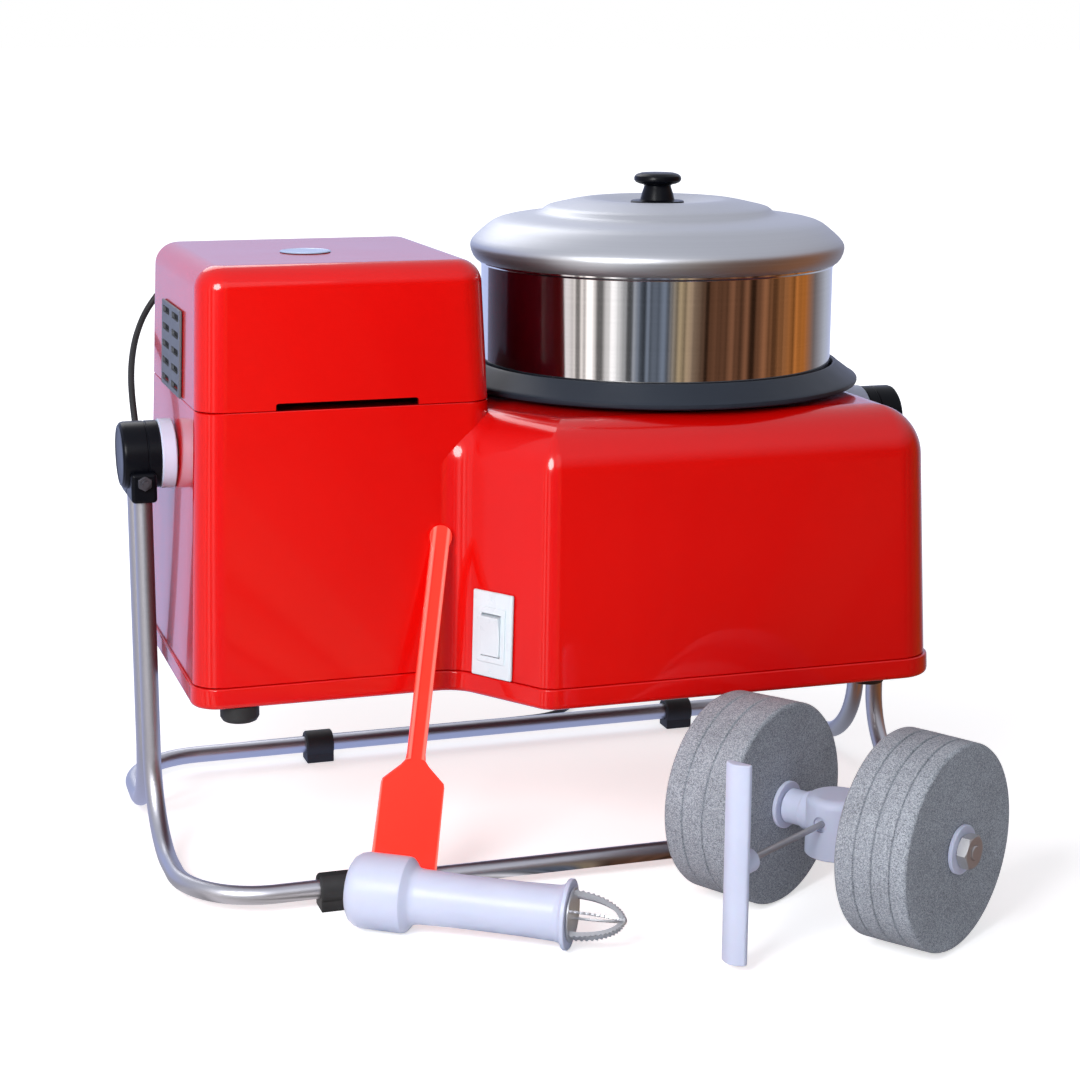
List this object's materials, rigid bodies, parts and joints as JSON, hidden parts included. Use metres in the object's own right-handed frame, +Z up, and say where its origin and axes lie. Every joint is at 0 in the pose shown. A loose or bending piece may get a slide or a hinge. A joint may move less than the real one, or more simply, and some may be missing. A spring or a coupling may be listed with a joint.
{
  "type": "tilting wet grinder",
  "caption": "Table-top wet grinder with a drum and lid on a housing that tilts in a tube stand, shown with its roller stones, wiper, scraper and spatula.",
  "frame": {"origin": "on the floor under the middle of the outer box, the cord and plug left out", "axes": "+X along the tilt axis towards the drum's side, +Y to the rear, +Z up; the switch and the loose tools are at -Y"},
  "size_m": [0.732, 0.887, 0.588],
  "materials": {
    "stand_steel": "polished stainless tube",
    "black_rubber": "matte black rubber",
    "cord_rubber": "black flexible sheath",
    "black_plastic": "satin black moulding",
    "white_plastic": "white nylon, satin",
    "red_clear_plastic": "clear bright red, glossy",
    "red_shell": "glossy bright red gel coat",
    "grey_paint": "dark grey, satin",
    "badge_foil": "pale foil, blank",
    "zinc_steel": "bright zinc",
    "blade_steel": "stamped stainless strip",
    "polished_steel": "mirror-polished stainless",
    "lid_aluminium": "satin spun",
    "motor_aluminium": "cast, plain",
    "plug_brass": "bright brass",
    "granite": "fine-ground speckled granite"
  },
  "bodies": {
    "root": {"stand_tube_front": "stand_steel", "stand_tube_rear": "stand_steel", "rail_foot_front_left": "black_rubber", "rail_foot_front_right": "black_rubber", "rail_foot_rear_left": "black_rubber", "rail_foot_rear_right": "black_rubber", "pivot_clamp_left": "black_plastic", "pivot_clamp_right": "black_plastic", "clamp_bolt_left": "zinc_steel", "clamp_bolt_right": "zinc_steel", "roller_hub": "white_plastic", "roller_axle": "zinc_steel", "axle_nut_left": "zinc_steel", "axle_nut_right": "zinc_steel", "wiper_rod": "zinc_steel", "scraper_body": "white_plastic", "scraper_blades": "blade_steel", "cord_tube": "cord_rubber", "cord_coil": "cord_rubber", "cord_tie": "white_plastic", "plug_body": "black_plastic", "plug_pins": "plug_brass"},
    "housing": {"base_tray": "red_shell", "housing_shell": "red_shell", "tower_cover": "red_shell", "housing_foot_front_left": "black_rubber", "housing_foot_rear_left": "black_rubber", "housing_foot_front_right": "black_rubber", "housing_foot_rear_right": "black_rubber", "pivot_pin_left": "zinc_steel", "pivot_pin_right": "zinc_steel", "pivot_spacer_left": "white_plastic", "pivot_spacer_right": "white_plastic", "vent_grille": "grey_paint", "top_badge": "badge_foil", "switch_plate": "white_plastic", "motor": "motor_aluminium", "motor_bracket": "zinc_steel", "drive_belt": "black_rubber", "bearing_housing": "motor_aluminium", "cord_relief": "cord_rubber", "cord_lead": "cord_rubber"},
    "rocker": {"switch_rocker": "white_plastic"},
    "rotor": {"motor_shaft": "zinc_steel", "motor_pulley": "motor_aluminium", "cooling_fan": "black_plastic"},
    "drum": {"drum_shaft": "zinc_steel", "drum_pulley": "motor_aluminium", "turntable": "black_plastic", "drum_pan": "polished_steel", "stone_bed": "granite", "centre_post": "zinc_steel"},
    "lid": {"lid": "lid_aluminium", "lid_knob": "black_plastic"},
    "stone_left": {"stone_left": "granite", "bush_left": "white_plastic"},
    "stone_right": {"stone_right": "granite", "bush_right": "white_plastic"},
    "wiper": {"wiper_blade": "white_plastic"},
    "spatula": {"spatula": "red_clear_plastic"}
  },
  "joints": [
    {"name": "tilt", "type": "hinge", "parent": "root", "child": "housing", "pos_m": [0, 0.13046, 0.355], "axis": [1, 0, 0], "range_deg": [0, 90]},
    {"name": "drum_spin", "type": "hinge", "parent": "housing", "child": "drum", "pos_m": [0.124, 0.13046, 0.397], "axis": [0, 0, 1], "continuous": true},
    {"name": "rotor_spin", "type": "hinge", "parent": "housing", "child": "rotor", "pos_m": [-0.195, 0.13046, 0.277], "axis": [0, 0, 1], "continuous": true},
    {"name": "lid_lift", "type": "slide", "parent": "drum", "child": "lid", "axis": [0, 0, 1], "range_m": [0, 0.2]},
    {"name": "switch_rock", "type": "hinge", "parent": "housing", "child": "rocker", "pos_m": [-0.07785, -0.02922, 0.2146], "axis": [0.5508, -0.8346, 0], "range_deg": [-8, 0]},
    {"name": "stone_left_spin", "type": "hinge", "parent": "root", "child": "stone_left", "pos_m": [0.1614, -0.20334, 0.0866], "axis": [0.542, -0.8404, 0], "continuous": true},
    {"name": "stone_right_spin", "type": "hinge", "parent": "root", "child": "stone_right", "pos_m": [0.1614, -0.20334, 0.0866], "axis": [0.542, -0.8404, 0], "continuous": true},
    {"name": "wiper_slide", "type": "slide", "parent": "root", "child": "wiper", "axis": [-0.8404, -0.542, 0], "range_m": [0, 0.008]},
    {"name": "spatula_take", "type": "slide", "parent": "root", "child": "spatula", "axis": [0.448, -0.2085, 0.8694], "range_m": [0, 0.355]}
  ],
  "couplings": [
    {"joint": "rotor_spin", "follows": "drum_spin", "ratio": 4.293},
    {"joint": "spatula_take", "follows": "tilt", "m_per_rad": 0.226}
  ]
}
